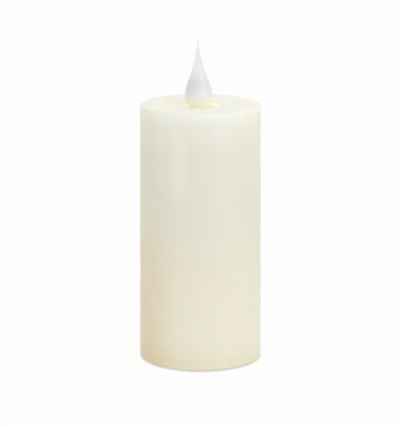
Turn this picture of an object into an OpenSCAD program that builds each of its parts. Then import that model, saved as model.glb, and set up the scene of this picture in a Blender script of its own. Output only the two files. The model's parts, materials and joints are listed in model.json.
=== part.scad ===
// Flameless LED pillar candle with a swinging flame.
// Millimetres, +Z up. The origin is on the table, under the middle of the pillar, and -Y is the front.

/* [Pillar] */
// Outside diameter of the wax at its foot
pillar_d = 76.2; // [75:0.1:80]
// Outside diameter of the wax at its top, slightly smaller so that it leaves the mould
pillar_top_d = 74.3; // [73.5:0.1:76]
// Height of the wax top above the table
pillar_h = 161; // [150:1:200]
// Diameter of the round cavity inside the wax
cavity_d = 66.6; // [66:0.1:68]
// Thickness of the wax above the cavity, at the rim
wax_top_t = 6; // [4:0.5:8]
// How far the top dips from its rim to the flame's hole
wax_top_dip = 1; // [0.5:0.1:1.5]
// Diameter of the hole that the flame stands in
flame_hole_d = 18.8; // [18.6:0.1:20]
// Height of the wax and the base above the table
ground_gap = 0.8; // [0.5:0.1:1.2]

/* [Flame] */
// Largest diameter of the flame
flame_d = 17.1; // [14:0.1:17.4]
// Height of the flame's point above the rim of the wax
flame_rise = 40; // [34:0.5:44]
// Wall of the hollow flame
flame_wall = 0.8; // [0.6:0.1:1]
// Depth of the swing axis under the wax top
pivot_depth = 9; // [8.5:0.1:10]

/* [Flame drive] */
// Diameter of the pivot wire
wire_d = 0.8; // [0.6:0.1:1]
// Outside diameter of the mechanism barrel
barrel_d = 31; // [30:0.5:34]
// Diameter of the magnet
magnet_d = 9; // [7:0.5:9]
// Height of the coil bobbin
bobbin_h = 8; // [6:0.5:9]

/* [Core] */
// Outside diameter of the plastic core
core_d = 65.8; // [65:0.1:66]
// Wall of the plastic core
core_wall = 1.8; // [1.5:0.1:2]

/* [Batteries] */
// Diameter of a cell
cell_d = 14.5; // [14:0.1:14.5]
// Length of a cell, with its button
cell_l = 50.5; // [49.5:0.1:50.5]

/* [Door and switch] */
// Length of the battery door
door_l = 58.4; // [58:0.1:59]
// Travel of the switch from one end to the other
switch_travel = 4; // [2:0.5:4]

/* [Hidden] */
$fn = 96;

// Clearances
run_gap = 0.05;   // around parts that turn or are pushed in
slip_gap = 0.3;   // around parts that lift out
plate_t = 0.4;    // sheet metal of the battery contacts

// Heights, upward from the table
base_z = ground_gap;
base_t = 3;
floor_z = base_z + base_t;
cell_z = base_z + 2.4 + cell_d / 2;
bay_roof_z = cell_z + cell_d / 2 + 0.5;
bay_roof_t = 1.4;
skirt_top_z = 24;
spigot_z = 20.5;
cavity_top_z = pillar_h - wax_top_t;
pivot_z = pillar_h - pivot_depth;
drive_floor_z = pillar_h - 44;
drive_floor_t = 2;
flange_t = 2;
core_top_z = drive_floor_z - flange_t;
core_roof_t = 2;
led_board_z = pillar_h - 25.2;
led_board_t = 1.2;

// Base and battery bay
base_d = 66;
skirt_d = core_d;
skirt_wall = 1.6;
bay_in = [56.4, 29.8];
bay_wall = 1.4;
bay_limit_r = 31.15;
cell_pitch = 14.8;
contact_x = bay_in[0] / 2;
button_d = 5.2;
button_h = 1.2;
dimple_h = 0.8;
cell_tip_x = contact_x - plate_t - dimple_h - 0.02;

// Battery door
door_t = 1.8;
door_front_y = -15.4;
door_rear_y = 15.2;
hinge_y = 17.6;
barrel_r = 1.1;
hinge_z = base_z + barrel_r;
barrel_l = 30;
hinge_pin_r = 0.8;
hinge_pin_l = 2;
door_corner_r = 3.5;

// Switch, at the front of the underside
switch_y = -23.75;
switch_z = 5;
switch_size = [12, 5.6, 4.8];
switch_post_x = 7.4;

// Places of repeated things
foot_places = [for (sx = [-1, 1], sy = [-1, 1]) [sx * 21.9, sy * 19.35]];
foot_d = 6.4;
foot_top_z = base_z + 0.9;
base_screw_seat_z = 5.6;
tower_top_z = 8.4;   // joint between the towers of the base and the bosses of the core
base_screw_places = [[0, 27.2], [12, -24.75], [-12, -24.75]];
mount_screw_places = [for (a = [45 : 90 : 315]) 18.8 * [cos(a), sin(a)]];
drive_screw_places = [for (sy = [-1, 1], z = [drive_floor_z + 7, drive_floor_z + 29]) [sy * 17.9, z]];
board_post_places = [for (sx = [-1, 1], sy = [-1, 1]) [sx * 18.5, sy * 9.5]];

// Circuit board on the roof of the battery bay
board_z = bay_roof_z + bay_roof_t + 3.6;
board_t = 1.6;
board_size = [44, 26];
board_top_z = board_z + board_t;

// Flame mechanism
barrel_r_out = barrel_d / 2;
barrel_wall = 1.8;
barrel_r_in = barrel_r_out - barrel_wall;
led_x = 9.7;
led_d = 5;
led_tilt = 14;
shaft_size = [2.6, 3];
cup_r = magnet_d / 2 + 0.7;
cup_h = 4;
cup_top_z = pivot_z - 18;
magnet_h = 3;
bobbin_r = 9.15;
bobbin_core_r = 4;
bobbin_flange_h = 1;
winding_r = 8.6;
riser_x = 12.1;   // where the wires pass through the flange, to either side

// ---------------------------------------------------------------- shared shapes

function bezier(p, t) =
    pow(1 - t, 3) * p[0] + 3 * pow(1 - t, 2) * t * p[1] + 3 * (1 - t) * t * t * p[2] + pow(t, 3) * p[3];

function unit(v) = v / norm(v);

// Points along a chain of three-dimensional Bezier curves, without repeating the joints
function curve_path(curves, steps) = [
    for (c = [0 : len(curves) - 1], i = [(c == 0 ? 0 : 1) : steps]) bezier(curves[c], i / steps)
];

// A round bar of radius r along the points of a path. ref is a direction that the path never runs along.
module rod_along(path, r, sides = 8, ref = [0, 1, 0]) {
    n = len(path);
    tangents = [for (i = [0 : n - 1]) unit(path[min(i + 1, n - 1)] - path[max(i - 1, 0)])];
    normals = [for (t = tangents) unit(ref - (ref * t) * t)];
    points = [
        for (i = [0 : n - 1], j = [0 : sides - 1])
            path[i] + r * (cos(360 * j / sides) * normals[i]
                + sin(360 * j / sides) * cross(tangents[i], normals[i]))
    ];
    sides_faces = [
        for (i = [0 : n - 2], j = [0 : sides - 1], half = [0, 1])
            let (a = i * sides + j, b = i * sides + (j + 1) % sides)
            half == 0 ? [a, a + sides, b + sides] : [a, b + sides, b]
    ];
    start_cap = [for (j = [0 : sides - 1]) j];
    end_cap = [for (j = [sides - 1 : -1 : 0]) (n - 1) * sides + j];
    polyhedron(points, concat([start_cap], sides_faces, [end_cap]));
}

// A rectangle with round corners, drawn with true arcs
module round_rect(size, r) {
    square([size[0] - 2 * r, size[1]], center = true);
    square([size[0], size[1] - 2 * r], center = true);
    for (sx = [-1, 1], sy = [-1, 1])
        translate([sx * (size[0] / 2 - r), sy * (size[1] / 2 - r)]) circle(r);
}

module tube(r_out, r_in, h) {
    difference() {
        cylinder(r = r_out, h = h);
        translate([0, 0, -1]) cylinder(r = r_in, h = h + 2);
    }
}

module box_between(low, high) {
    translate(low) cube(high - low);
}

// A pan-head screw. Its head's underside is at z = 0 and its shank points down.
module screw(shank_r, shank_l, head_r, head_h) {
    point_l = shank_r * 1.2;
    difference() {
        union() {
            cylinder(r = head_r, h = head_h * 0.6);
            translate([0, 0, head_h * 0.6]) cylinder(r1 = head_r, r2 = head_r * 0.7, h = head_h * 0.4);
            translate([0, 0, point_l - shank_l]) cylinder(r = shank_r, h = shank_l - point_l);
            translate([0, 0, -shank_l]) cylinder(r1 = shank_r * 0.25, r2 = shank_r, h = point_l);
        }
        for (turn = [0, 90])
            rotate(turn)
                translate([-head_r * 0.55, -head_r * 0.13, head_h * 0.4])
                    cube([head_r * 1.1, head_r * 0.26, head_h]);
    }
}

// ---------------------------------------------------------------- wax pillar

// Radius of the outside of the wax at a height
function wax_r(z) = (pillar_d + (pillar_top_d - pillar_d) * (z - base_z) / (pillar_h - base_z)) / 2;

module wax_shell() {
    top_round = 1.2;
    foot_round = 0.8;
    lip_round = 0.7;
    steps = 5;
    hole_r = flame_hole_d / 2;
    hole_z = pillar_h - wax_top_dip;
    dip_r = [31, hole_r + lip_round];
    dip_steps = 8;
    arc_top = [for (i = [0 : steps]) let (a = 90 * i / steps)
        [wax_r(pillar_h) - top_round * (1 - cos(a)), pillar_h - top_round * (1 - sin(a))]];
    arc_dip = [for (i = [0 : dip_steps - 1]) let (t = i / dip_steps)
        [dip_r[0] + (dip_r[1] - dip_r[0]) * t, pillar_h - wax_top_dip * (1 - cos(180 * t)) / 2]];
    arc_lip = [for (i = [0 : steps]) let (a = 90 * i / steps)
        [hole_r + lip_round * (1 - sin(a)), hole_z - lip_round * (1 - cos(a))]];
    arc_foot = [for (i = [0 : steps]) let (a = 90 * i / steps)
        [wax_r(base_z) - foot_round * (1 - sin(a)), base_z + foot_round * (1 - cos(a))]];
    color("ivory")
        rotate_extrude()
            polygon(concat(
                arc_foot, arc_top, arc_dip, arc_lip,
                [[hole_r, cavity_top_z], [cavity_d / 2, cavity_top_z], [cavity_d / 2, base_z]]));
}

// Strips of hot-melt glue between the core and the wax
module glue_pads() {
    pad_h = 26;
    pad_angle = 16;
    pads = [for (z = [36, 82], a = [30 : 120 : 270]) [z, a + (z > 60 ? 60 : 0)]];
    color("beige")
        for (p = pads)
            translate([0, 0, p[0]])
                rotate(p[1] - pad_angle / 2)
                    rotate_extrude(angle = pad_angle)
                        translate([core_d / 2 + run_gap, 0])
                            square([(cavity_d - core_d) / 2 - 2 * run_gap, pad_h]);
}

// ---------------------------------------------------------------- flame

// Outline of the flame from its open foot to its point, as [radius, height above the rim of the wax]
flame_foot = [4, -4];
flame_belly = [flame_d / 2, 4.7];
flame_neck = [0.65, flame_rise - 0.9];
flame_lower = [flame_foot, [5.6, -2.4], [flame_belly[0], -0.6], flame_belly];
flame_upper = [flame_belly, [flame_belly[0], 12.7], [1.85, 20.5], flame_neck];
flame_steps = 14;

function flame_outline(shrink) = [
    for (c = [flame_lower, flame_upper], i = [(c == flame_lower ? 0 : 1) : flame_steps])
        let (p = bezier(c, i / flame_steps))
        if (p[0] - shrink > 0.35) [p[0] - shrink, p[1]]
];

module flame_shell() {
    outside = flame_outline(0);
    inside = flame_outline(flame_wall);
    tip = [
        [flame_neck[0] * 0.8, flame_rise - 0.45],
        [flame_neck[0] * 0.45, flame_rise - 0.12],
        [0, flame_rise],
    ];
    inner_tip = [0, inside[len(inside) - 1][1] + 0.6];
    color("whitesmoke")
        translate([0, 0, pillar_h])
            rotate_extrude()
                polygon(concat(
                    outside, tip, [inner_tip], [for (i = [len(inside) - 1 : -1 : 0]) inside[i]]));
}

module flame_stem() {
    foot_z = pillar_h + flame_foot[1];
    ring_t = 1;
    plug_r = flame_foot[0] - flame_wall - run_gap;
    eye_r = wire_d / 2 + 0.5;
    boss_r = 2.3;
    boss_l = 2.4;
    color("white")
        difference() {
            union() {
                // Rim that the flame sits on, and a plug inside the flame
                translate([0, 0, foot_z - ring_t]) tube(flame_foot[0] + 0.3, plug_r - 1, ring_t);
                translate([0, 0, foot_z - ring_t]) tube(plug_r, plug_r - 1, ring_t + 1.4);
                // Spokes across the rim
                for (turn = [0, 90])
                    rotate(turn)
                        translate([-plug_r + 0.5, -0.7, foot_z - ring_t]) cube([2 * plug_r - 1, 1.4, 1.6]);
                // Shaft down to the magnet cup
                translate([-shaft_size[0] / 2, -boss_l / 2, cup_top_z - 0.2])
                    cube([shaft_size[0], boss_l, foot_z - ring_t - cup_top_z + 0.4]);
                translate([0, boss_l / 2, pivot_z - 0.4])
                    rotate([90, 0, 0]) cylinder(r = boss_r, h = boss_l);
                translate([0, 0, cup_top_z - cup_h]) cylinder(r = cup_r, h = cup_h);
            }
            // Oversized eye that hangs on the pivot wire
            translate([0, 3, pivot_z + wire_d / 2 + 0.08 - eye_r])
                rotate([90, 0, 0]) cylinder(r = eye_r, h = 6);
            // Pocket for the magnet
            translate([0, 0, cup_top_z - cup_h - 1]) cylinder(r = magnet_d / 2 + run_gap, h = magnet_h + 1);
        }
}

module flame_magnet() {
    color("silver")
        translate([0, 0, cup_top_z - cup_h]) cylinder(r = magnet_d / 2, h = magnet_h);
}

module pivot_wire() {
    half_l = barrel_r_in - 0.7;
    stop_y = 2.1;
    stop_l = 0.6;
    color("gainsboro")
        translate([0, 0, pivot_z])
            rotate([90, 0, 0]) {
                translate([0, 0, -half_l]) cylinder(d = wire_d, h = 2 * half_l);
                for (side = [-1, 1])
                    translate([0, 0, side * (stop_y + stop_l / 2) - stop_l / 2])
                        cylinder(r = wire_d / 2 + 0.35, h = stop_l);
            }
}

// ---------------------------------------------------------------- flame mechanism

// The whole barrel, before it is split into its two halves
module mechanism_barrel() {
    roof_t = 2.4;
    flange_r = 22;
    boss_r = 2.9;
    boss_l = 7;
    bobbin_seat_r = bobbin_r + 0.1;
    ledge_t = 1.6;
    cradle_y = 9.9;
    difference() {
        union() {
            translate([0, 0, core_top_z]) cylinder(r = flange_r, h = flange_t);
            translate([0, 0, drive_floor_z]) cylinder(r = barrel_r_out, h = cavity_top_z - drive_floor_z);
            for (p = drive_screw_places)
                translate([-boss_l, p[0], p[1]]) rotate([0, 90, 0]) cylinder(r = boss_r, h = 2 * boss_l);
        }
        // Room for the stem, the magnet and the lamps
        difference() {
            translate([0, 0, drive_floor_z + drive_floor_t])
                cylinder(r = barrel_r_in, h = cavity_top_z - roof_t - drive_floor_z - drive_floor_t);
            // Cradles that hold the ends of the pivot wire
            for (side = [-1, 1])
                box_between([-2.4, side > 0 ? cradle_y : -barrel_r_out, pivot_z - 3.5],
                            [2.4, side > 0 ? barrel_r_out : -cradle_y, cavity_top_z]);
            // Ledge under the lamp board
            translate([0, 0, led_board_z - ledge_t]) tube(barrel_r_out, barrel_r_in - 1.2, ledge_t);
            // Rim around the foot of the bobbin
            translate([0, 0, drive_floor_z])
                tube(bobbin_seat_r + 1.4, bobbin_seat_r, drive_floor_t + 1.8);
        }
        // Opening under the flame
        translate([0, 0, cavity_top_z - roof_t - 1]) cylinder(d = flame_hole_d, h = roof_t + 2);
        // Bearing for the pivot wire
        translate([0, 0, pivot_z])
            rotate([90, 0, 0])
                translate([0, 0, -(barrel_r_in - 0.4)])
                    cylinder(d = wire_d + 2 * run_gap, h = 2 * (barrel_r_in - 0.4));
        // Slots for the wires, clear of the bobbin's rim
        for (side = [-1, 1])
            translate([side * riser_x, 0, core_top_z - 1])
                cylinder(r = 1.4, h = flange_t + drive_floor_t + 4);
        // Screw holes in the flange
        for (p = mount_screw_places)
            translate([p[0], p[1], core_top_z - 1]) cylinder(r = 1.3, h = flange_t + 2);
    }
}

module mechanism_left() {
    color("whitesmoke")
        difference() {
            intersection() {
                mechanism_barrel();
                box_between([-40, -40, core_top_z - 1], [0, 40, cavity_top_z + 1]);
            }
            // Pilot holes
            for (p = drive_screw_places)
                translate([-6, p[0], p[1]]) rotate([0, 90, 0]) cylinder(r = 0.9, h = 7);
        }
}

module mechanism_right() {
    color("whitesmoke")
        difference() {
            intersection() {
                mechanism_barrel();
                box_between([0, -40, core_top_z - 1], [40, 40, cavity_top_z + 1]);
            }
            // Clearance holes and seats for the screw heads
            for (p = drive_screw_places) {
                translate([-1, p[0], p[1]]) rotate([0, 90, 0]) cylinder(r = 1.1, h = 9);
                translate([4.6, p[0], p[1]]) rotate([0, 90, 0]) cylinder(r = 2, h = 4);
            }
        }
}

module mechanism_screws() {
    color("silver")
        for (p = drive_screw_places)
            translate([4.6, p[0], p[1]]) rotate([0, 90, 0]) screw(0.85, 10, 1.8, 1.3);
}

module coil_bobbin() {
    flange_h = bobbin_flange_h;
    color("white")
        translate([0, 0, drive_floor_z + drive_floor_t])
            difference() {
                union() {
                    cylinder(r = bobbin_r, h = flange_h);
                    cylinder(r = bobbin_core_r, h = bobbin_h);
                    translate([0, 0, bobbin_h - flange_h]) cylinder(r = bobbin_r, h = flange_h);
                }
                translate([0, 0, -1]) cylinder(r = bobbin_core_r - 1.8, h = bobbin_h + 2);
            }
}

module coil_winding() {
    color("peru")
        translate([0, 0, drive_floor_z + drive_floor_t + bobbin_flange_h + run_gap])
            tube(winding_r, bobbin_core_r + run_gap, bobbin_h - 2 * (bobbin_flange_h + run_gap));
}

module led_board() {
    color("seagreen")
        translate([0, 0, led_board_z])
            difference() {
                tube(barrel_r_in - run_gap, 6.3, led_board_t);
                for (side = [-1, 1], y = [-1.27, 1.27])
                    translate([side * led_x, y, -1]) cylinder(r = 0.45, h = led_board_t + 2);
                for (y = [-1, 1])
                    translate([0, y * 10.6, -1]) cylinder(r = 0.5, h = led_board_t + 2);
            }
}

// A round lamp that leans towards the axis of the candle, with its two legs through the board
module led(side) {
    stand = 1.6;
    dome_z = 8.7 - led_d / 2;
    color("lightyellow")
        translate([side * led_x, 0, led_board_z + led_board_t + stand])
            rotate([0, -side * led_tilt, 0]) {
                cylinder(r = led_d / 2 + 0.4, h = 1);
                cylinder(d = led_d, h = dome_z);
                translate([0, 0, dome_z]) sphere(d = led_d);
            }
    color("silver")
        for (y = [-1.27, 1.27])
            translate([side * led_x - 0.25, y - 0.25, led_board_z - 1])
                cube([0.5, 0.5, led_board_t + 1 + stand - 0.75]);
}

module left_led() led(-1);

module right_led() led(1);

// ---------------------------------------------------------------- plastic core

module core_housing() {
    r_out = core_d / 2;
    spigot_r = r_out - skirt_wall - 0.2;
    spigot_wall = 1.4;
    boss_r = 3.2;
    boss_z = tower_top_z;
    boss_top_z = 34;
    mount_boss_l = 8;
    color("whitesmoke")
        difference() {
            union() {
                translate([0, 0, skirt_top_z]) tube(r_out, r_out - core_wall, core_top_z - skirt_top_z);
                translate([0, 0, spigot_z])
                    tube(spigot_r, spigot_r - spigot_wall, skirt_top_z - spigot_z + 2);
                translate([0, 0, core_top_z - core_roof_t]) cylinder(r = r_out, h = core_roof_t);
                // Bosses that reach down to the base
                for (p = base_screw_places)
                    translate([p[0], p[1], boss_z]) cylinder(r = boss_r, h = boss_top_z - boss_z);
                // Ribs that join the bosses to the wall
                for (p = base_screw_places)
                    rotate(atan2(p[1], p[0]))
                        translate([norm(p), -1, spigot_z])
                            cube([spigot_r - norm(p) - 0.6, 2, boss_top_z - spigot_z]);
                for (p = mount_screw_places)
                    translate([p[0], p[1], core_top_z - mount_boss_l]) cylinder(r = 3.2, h = mount_boss_l);
            }
            // Opening under the mechanism
            translate([0, 0, core_top_z - core_roof_t - 1]) cylinder(r = 14, h = core_roof_t + 2);
            for (p = base_screw_places)
                translate([p[0], p[1], boss_z - 1]) cylinder(r = 1.35, h = 13);
            for (p = mount_screw_places)
                translate([p[0], p[1], core_top_z - mount_boss_l + 1])
                    cylinder(r = 1.15, h = mount_boss_l + 1);
        }
}

module mount_screws() {
    color("silver")
        for (p = mount_screw_places)
            translate([p[0], p[1], drive_floor_z]) screw(1.1, 8, 2.1, 1.5);
}

// ---------------------------------------------------------------- base

// Outline of the battery door, grown by a margin for the recess that it lies in
module door_outline(margin) {
    plate_w = door_rear_y - door_front_y;
    translate([0, door_front_y + plate_w / 2])
        round_rect([door_l + 2 * margin, plate_w + 2 * margin], door_corner_r);
    translate([-barrel_l / 2 - margin, 0]) square([barrel_l + 2 * margin, hinge_y + margin]);
}

// Walls and roof of the battery bay, standing on the floor of the base
module bay_walls() {
    intersection() {
        box_between([-40, -bay_in[1] / 2 - bay_wall, floor_z - 0.1],
                    [40, bay_in[1] / 2 + bay_wall, bay_roof_z + bay_roof_t]);
        cylinder(r = bay_limit_r + 0.6, h = 60);
    }
}

// Everything that is cut out for the cells, their contacts and the latch
module bay_space() {
    lip = 1;
    intersection() {
        box_between([-bay_in[0] / 2, -bay_in[1] / 2, floor_z], [bay_in[0] / 2, bay_in[1] / 2, bay_roof_z]);
        cylinder(r = bay_limit_r - 0.1, h = 60);
    }
    // Mouth, with a lip under each row of contacts
    box_between([-contact_x + lip, -bay_in[1] / 2, 0], [contact_x - lip, bay_in[1] / 2, floor_z + 1]);
    // Slots in the roof for the tabs of the two outer contacts
    for (side = [-1, 1])
        translate([-contact_x, side * cell_pitch / 2 - 2.2, bay_roof_z - 1])
            cube([plate_t + 0.2, 4.4, bay_roof_t + 2]);
    // Pocket behind the front wall for the door's latch
    box_between([-5, -bay_in[1] / 2 - 0.95, floor_z], [5, -bay_in[1] / 2 + 1, floor_z + 2.2]);
}

// Recess for the door, a trough for its hinge barrel, sockets for its pins and a notch for a fingertip
module door_space() {
    trough_r = barrel_r + slip_gap;
    trough_l = barrel_l + 2 * slip_gap;
    socket_l = barrel_l + 2 * hinge_pin_l + 0.8;
    notch_r = 5;
    notch_l = 7;
    notch_depth = 1.6;
    translate([0, 0, base_z - 1]) linear_extrude(door_t + 1) door_outline(slip_gap);
    translate([-trough_l / 2, hinge_y, hinge_z]) rotate([0, 90, 0]) cylinder(r = trough_r, h = trough_l);
    box_between([-trough_l / 2, hinge_y - 2, 0], [trough_l / 2, hinge_y + trough_r + 0.15, hinge_z]);
    translate([-socket_l / 2, hinge_y, hinge_z])
        rotate([0, 90, 0]) cylinder(r = hinge_pin_r + run_gap, h = socket_l);
    translate([0, door_front_y, base_z + notch_depth - notch_r]) {
        translate([-notch_l / 2, 0, 0]) rotate([0, 90, 0]) cylinder(r = notch_r, h = notch_l);
        for (side = [-1, 1]) translate([side * notch_l / 2, 0, 0]) sphere(r = notch_r);
    }
}

// Engraved marks beside the switch: a bar for lit, a ring for off and a clock for the timer
module switch_marks() {
    depth = 0.3;
    pitch = 4.5;
    translate([0, switch_y - 5, base_z - 1]) {
        translate([-pitch - 0.25, -1.1, 0]) cube([0.5, 2.2, depth + 1]);
        tube(1.1, 0.7, depth + 1);
        translate([pitch, 0, 0]) {
            tube(1.3, 0.95, depth + 1);
            translate([-0.15, -0.15, 0]) cube([0.3, 0.85, depth + 1]);
            translate([-0.15, -0.15, 0]) cube([0.75, 0.3, depth + 1]);
        }
    }
}

module base() {
    tower_r = 3.5;
    switch_top_z = switch_z + switch_size[2];
    color("ivory")
        difference() {
            union() {
                translate([0, 0, base_z]) cylinder(d = base_d, h = base_t);
                translate([0, 0, base_z])
                    tube(skirt_d / 2, skirt_d / 2 - skirt_wall, skirt_top_z - base_z);
                bay_walls();
                // Posts and stakes that carry the switch board
                for (x = [-1, 1] * switch_post_x) {
                    translate([x, switch_y, floor_z - 1]) cylinder(r = 1.3, h = switch_top_z - floor_z + 1);
                    translate([x, switch_y, floor_z]) cylinder(r = 0.7, h = switch_top_z - floor_z + 2);
                }
                // Towers around the base screws
                for (p = base_screw_places)
                    translate([p[0], p[1], floor_z - 1])
                        cylinder(r = tower_r, h = tower_top_z - floor_z + 1);
                // Posts under the circuit board
                for (p = board_post_places)
                    translate([p[0], p[1], bay_roof_z]) cylinder(r = 2.3, h = board_z - bay_roof_z);
            }
            bay_space();
            door_space();
            switch_marks();
            // Recess and slot for the switch knob
            translate([0, switch_y, base_z - 1]) linear_extrude(2.2) round_rect([15, 6.4], 2);
            translate([0, switch_y, 0]) linear_extrude(10) round_rect([8.6, 3.4], 0.8);
            // Seats for the feet
            for (p = foot_places)
                translate([p[0], p[1], 0]) cylinder(d = foot_d + slip_gap, h = foot_top_z);
            for (p = base_screw_places) {
                translate([p[0], p[1], 0]) cylinder(r = 1.5, h = 20);
                translate([p[0], p[1], 0]) cylinder(r = 2.8, h = base_screw_seat_z);
            }
            for (p = board_post_places)
                translate([p[0], p[1], bay_roof_z + 0.6]) cylinder(r = 0.95, h = 10);
        }
}

module base_screws() {
    color("silver")
        for (p = base_screw_places)
            translate([p[0], p[1], base_screw_seat_z]) rotate([180, 0, 0]) screw(1.3, 12, 2.5, 1.8);
}

module rubber_feet() {
    edge = 0.4;
    color("dimgray")
        for (p = foot_places)
            translate([p[0], p[1], 0]) {
                cylinder(r1 = foot_d / 2 - edge, r2 = foot_d / 2, h = edge);
                translate([0, 0, edge]) cylinder(d = foot_d, h = foot_top_z - edge);
            }
}

module battery_door() {
    tongue_w = 9;
    latch_w = 8;
    nub = 0.75;
    front_y = -bay_in[1] / 2;
    color("ivory") {
        difference() {
            union() {
                translate([0, 0, base_z]) linear_extrude(door_t) door_outline(0);
                translate([-barrel_l / 2, hinge_y, hinge_z])
                    rotate([0, 90, 0]) cylinder(r = barrel_r, h = barrel_l);
                // Hinge pins
                translate([-barrel_l / 2 - hinge_pin_l, hinge_y, hinge_z])
                    rotate([0, 90, 0]) cylinder(r = hinge_pin_r, h = barrel_l + 2 * hinge_pin_l);
                // Ribs inside the door, between the cells
                for (x = [-18, 0, 18])
                    box_between([x - 0.6, -2.6, base_z + door_t - 0.2],
                                [x + 0.6, 2.6, base_z + door_t + 1.6]);
                // Latch hook and its nub
                box_between([-latch_w / 2, front_y + 0.15, base_z + door_t - 0.2],
                            [latch_w / 2, front_y + 1.15, floor_z + 1.6]);
                box_between([-latch_w / 2, front_y + 0.3 - nub, floor_z + 0.15],
                            [latch_w / 2, front_y + 1.15, floor_z + 1.1]);
            }
            // Slits that let the tongue with the latch bend
            for (side = [-1, 1])
                translate([side * (tongue_w / 2 + 0.5) - 0.5, door_front_y - 1, base_z - 1])
                    cube([1, 9, door_t + 1.9]);
            // Grip lines on the tongue
            for (i = [0 : 2])
                box_between([-3.4, door_front_y + 5.2 + i * 1.3, base_z - 1],
                            [3.4, door_front_y + 5.8 + i * 1.3, base_z + 0.35]);
        }
    }
}

// ---------------------------------------------------------------- batteries and contacts

// One cell along X. side is +1 when its button points to +X.
module cell(y, side) {
    shoulder_x = cell_tip_x - button_h;
    translate([0, y, cell_z])
        rotate([0, 90 * side, 0])
            rotate_extrude()
                polygon([
                    [0, cell_tip_x - cell_l], [cell_d / 2 - 0.6, cell_tip_x - cell_l],
                    [cell_d / 2, cell_tip_x - cell_l + 0.6], [cell_d / 2, shoulder_x - 0.6],
                    [cell_d / 2 - 0.6, shoulder_x], [button_d / 2, shoulder_x],
                    [button_d / 2, cell_tip_x - 0.2], [button_d / 2 - 0.2, cell_tip_x], [0, cell_tip_x],
                ]);
}

module rear_battery() color("darkslategray") cell(cell_pitch / 2, 1);

module front_battery() color("darkslategray") cell(-cell_pitch / 2, -1);

// Spring of a contact at x = side * contact_x, pressed against the flat end of a cell
module contact_spring(y, side) {
    turns = 3.5;
    steps = 20;
    wire_r = 0.35;
    start_x = contact_x - plate_t - wire_r;
    end_x = cell_l - cell_tip_x + wire_r + 0.03;
    count = turns * steps;
    path = [
        for (i = [0 : count])
            let (s = i / count, ease = s * s * (3 - 2 * s), a = 360 * i / steps, r = 4.4 - 1.6 * s)
            [side * (start_x + (end_x - start_x) * ease), y + r * cos(a), cell_z + r * sin(a)]
    ];
    rod_along(path, wire_r, 10, [1, 0, 0]);
}

// Flat plate of a contact, standing against the end wall of the bay
module contact_plate(y, side, width, height) {
    x = side > 0 ? contact_x - plate_t : -contact_x;
    translate([x, y - width / 2, floor_z + 0.1]) cube([plate_t, width, height]);
}

module contact_dimple(y, side) {
    translate([side * (contact_x - plate_t), y, cell_z])
        rotate([0, -90 * side, 0]) cylinder(r1 = 2.6, r2 = 1.8, h = dimple_h);
}

module series_contact() {
    color("silver") {
        contact_plate(0, 1, 24, bay_roof_z - floor_z - 0.4);
        contact_dimple(cell_pitch / 2, 1);
    }
    color("silver") contact_spring(-cell_pitch / 2, 1);
}

module positive_contact() {
    y = -cell_pitch / 2;
    color("silver") {
        contact_plate(y, -1, 10, bay_roof_z - floor_z - 0.4);
        contact_plate(y, -1, 3, bay_roof_z - floor_z + 4);
        contact_dimple(y, -1);
    }
}

module negative_contact() {
    y = cell_pitch / 2;
    color("silver") {
        contact_plate(y, -1, 10, bay_roof_z - floor_z - 0.4);
        contact_plate(y, -1, 3, bay_roof_z - floor_z + 4);
    }
    color("silver") contact_spring(y, -1);
}

// ---------------------------------------------------------------- circuit board

module circuit_board() {
    color("seagreen")
        difference() {
            translate([0, 0, board_z]) linear_extrude(board_t) round_rect(board_size, 1.5);
            for (p = board_post_places)
                translate([p[0], p[1], board_z - 1]) cylinder(r = 1.2, h = board_t + 2);
        }
}

module board_screws() {
    color("silver")
        for (p = board_post_places) translate([p[0], p[1], board_top_z]) screw(0.9, 4.6, 1.9, 1.3);
}

// A chip with gull-wing legs along its two long sides
module controller_chip() {
    body = [8.7, 3.9, 1.4];
    legs = 7;
    pitch = 1.27;
    color("black") translate([-body[0] / 2, -body[1] / 2, board_top_z + 0.15]) cube(body);
    color("silver")
        for (side = [-1, 1], i = [0 : legs - 1])
            translate([(i - (legs - 1) / 2) * pitch - 0.2, side * body[1] / 2, board_top_z])
                mirror([0, side > 0 ? 0 : 1, 0]) {
                    translate([0, 0.4, 0]) cube([0.4, 0.7, 0.2]);
                    cube([0.4, 0.5, 0.8]);
                }
}

module timer_crystal() {
    color("silver")
        translate([-2, -6.4, board_top_z + 1.1]) rotate([0, 90, 0]) cylinder(r = 1.05, h = 6.2);
}

module capacitor() {
    color("midnightblue")
        translate([11, 5, board_top_z]) {
            cylinder(r = 2.5, h = 0.8);
            translate([0, 0, 0.8]) cylinder(r = 2.3, h = 0.6);
            translate([0, 0, 1.4]) cylinder(r = 2.5, h = 6);
        }
}

module transistors() {
    color("black")
        for (x = [-12, -8])
            translate([x, 5.5, board_top_z + 0.1]) cube([2.9, 1.4, 1.1]);
    color("silver")
        for (x = [-12, -8]) {
            for (dx = [0.25, 2.15]) translate([x + dx, 4.8, board_top_z]) cube([0.5, 0.7, 0.5]);
            translate([x + 1.2, 6.9, board_top_z]) cube([0.5, 0.7, 0.5]);
        }
}

module resistors() {
    color("black")
        for (x = [-11.5 : 3.2 : -4], y = [-1.6, 1.6])
            translate([x - 2, y - 0.65, board_top_z]) cube([2, 1.3, 0.5]);
}

// Places of the plugs for the lamp wires, the coil wires and the switch wires
connector_places = [[15.5, -3.2], [8.6, -9.2], [-6, -10]];
connector_h = 4.4;
socket_x = 1.25;
socket_z = board_top_z + connector_h - 1.8;

module wire_connectors() {
    size = [5, 3.6, connector_h];
    color("white")
        for (p = connector_places)
            difference() {
                translate([p[0] - size[0] / 2, p[1] - size[1] / 2, board_top_z]) cube(size);
                for (x = [-socket_x, socket_x])
                    translate([p[0] + x, p[1], socket_z]) cylinder(r = 0.75, h = 3);
            }
}

// ---------------------------------------------------------------- switch

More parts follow.
